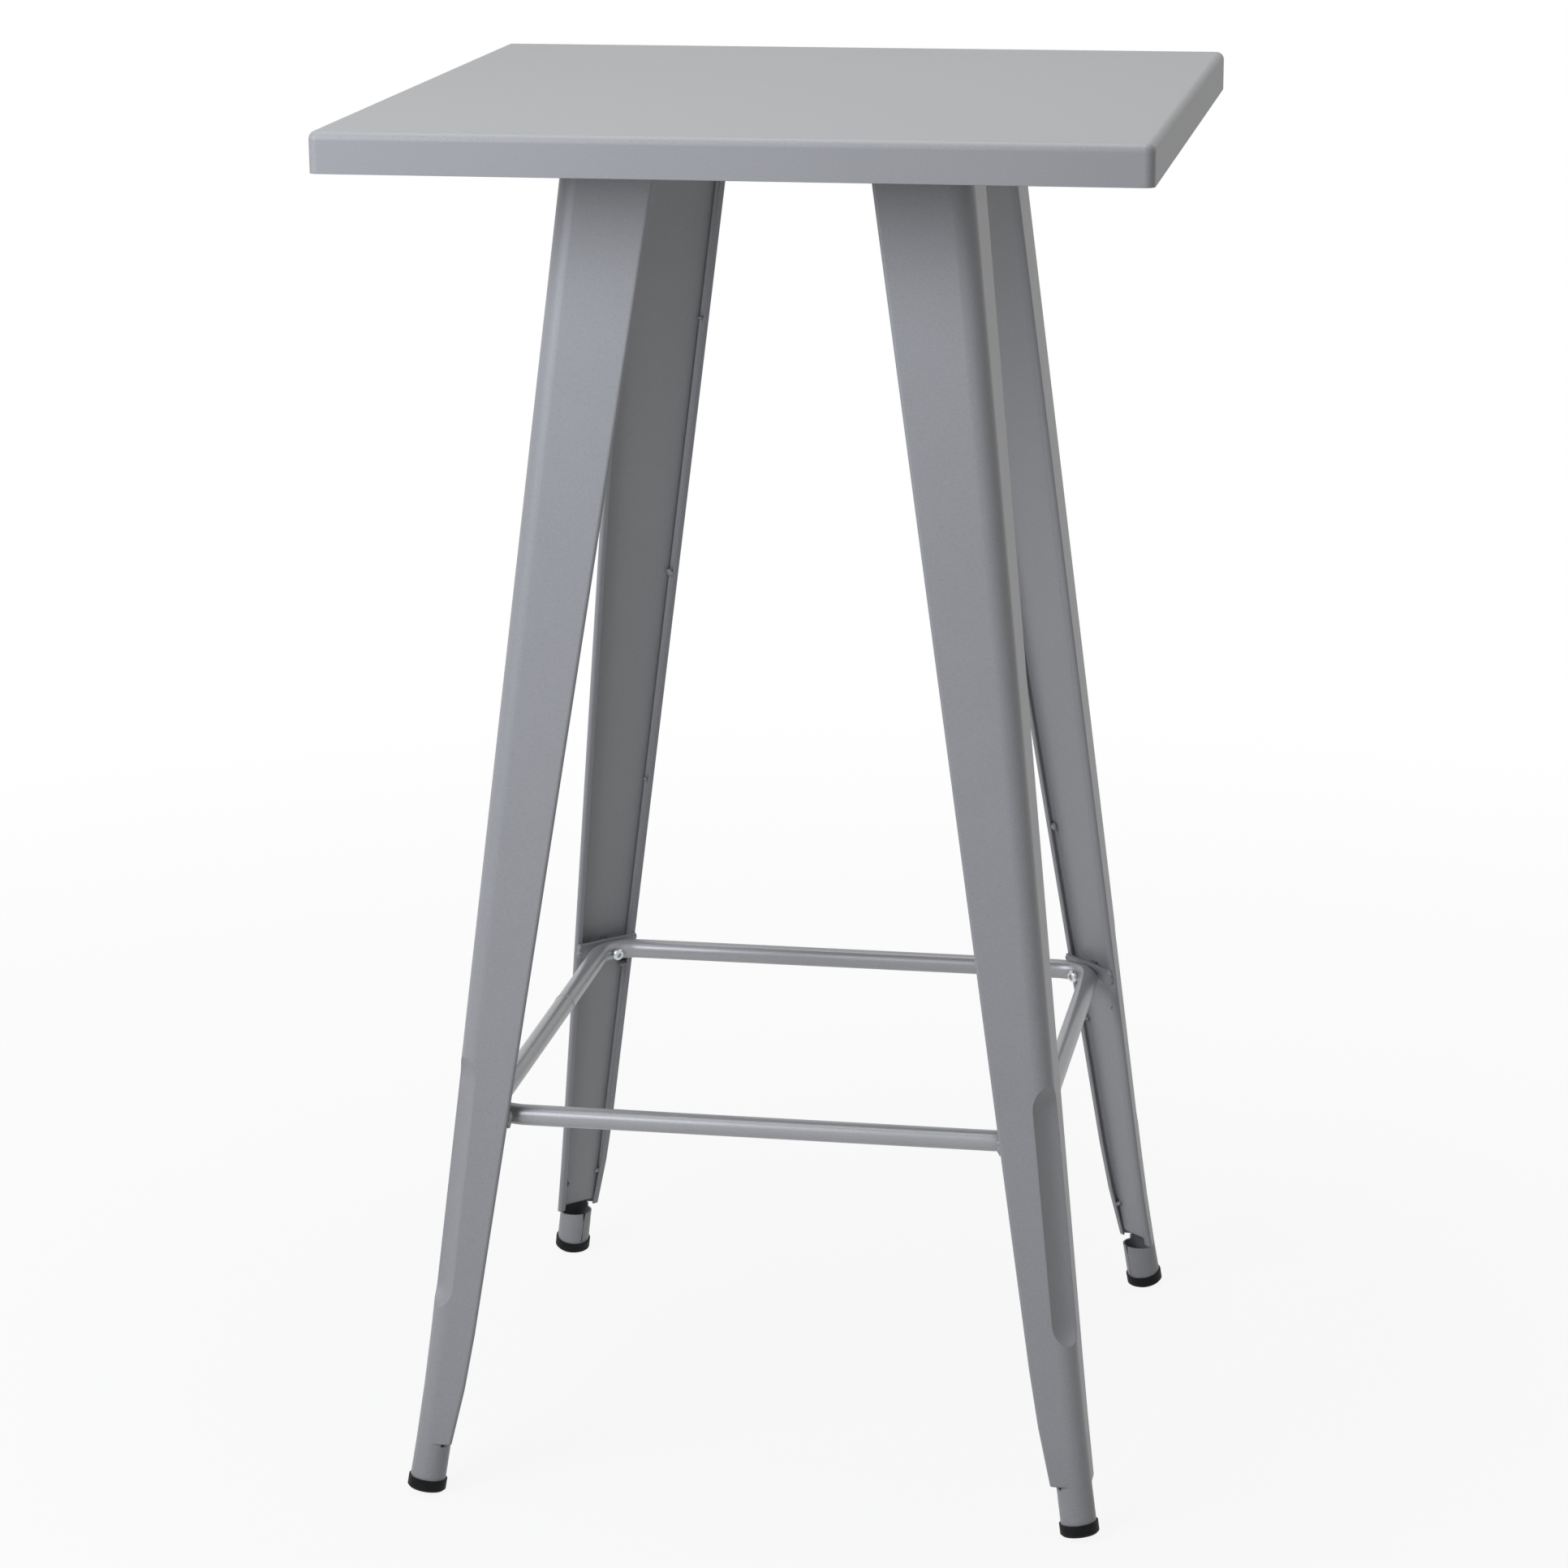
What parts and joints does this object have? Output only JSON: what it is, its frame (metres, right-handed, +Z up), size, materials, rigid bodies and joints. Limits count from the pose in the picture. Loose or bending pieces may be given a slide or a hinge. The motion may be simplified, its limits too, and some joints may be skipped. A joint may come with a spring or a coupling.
{
  "type": "pub table",
  "caption": "Tall square bar table in folded sheet steel: pan-shaped top, splayed tapering L-section legs, round-tube footrest ring and black foot caps.",
  "frame": {"origin": "on the floor under the middle of the top", "axes": "+Z up; X and Y along the sides of the square top, -Y toward the front of the picture"},
  "size_m": [0.6, 0.6, 1.06],
  "materials": {
    "silver_coat_top": "satin silver-grey metallic powder coat",
    "silver_coat_leg": "satin silver-grey metallic powder coat",
    "silver_coat_plate": "satin silver-grey metallic powder coat",
    "silver_coat_tube": "glossier silver-grey metallic powder coat",
    "silver_coat_bracket": "satin silver-grey metallic powder coat",
    "zinc_fastener": "bright zinc plate",
    "plain_weld_nut": "plain steel",
    "foot_cap_rubber": "satin black"
  },
  "bodies": {
    "root": {"table_top": "silver_coat_top", "top_stiffener_right": "silver_coat_bracket", "top_stiffener_back": "silver_coat_bracket", "top_stiffener_left": "silver_coat_bracket", "top_stiffener_front": "silver_coat_bracket", "leg_shell_back_right": "silver_coat_leg", "leg_inner_plate_back_right": "silver_coat_plate", "leg_mount_bracket_back_right": "silver_coat_bracket", "footrest_bracket_back_right": "silver_coat_bracket", "foot_cap_back_right": "foot_cap_rubber", "leg_shell_back_left": "silver_coat_leg", "leg_inner_plate_back_left": "silver_coat_plate", "leg_mount_bracket_back_left": "silver_coat_bracket", "footrest_bracket_back_left": "silver_coat_bracket", "foot_cap_back_left": "foot_cap_rubber", "leg_shell_front_left": "silver_coat_leg", "leg_inner_plate_front_left": "silver_coat_plate", "leg_mount_bracket_front_left": "silver_coat_bracket", "footrest_bracket_front_left": "silver_coat_bracket", "foot_cap_front_left": "foot_cap_rubber", "leg_shell_front_right": "silver_coat_leg", "leg_inner_plate_front_right": "silver_coat_plate", "leg_mount_bracket_front_right": "silver_coat_bracket", "footrest_bracket_front_right": "silver_coat_bracket", "foot_cap_front_right": "foot_cap_rubber", "footrest_ring": "silver_coat_tube", "footrest_bolts": "zinc_fastener", "footrest_weld_nuts": "plain_weld_nut", "leg_washers": "zinc_fastener", "leg_bolts": "zinc_fastener", "leg_weld_nuts": "plain_weld_nut"}
  },
  "joints": []
}
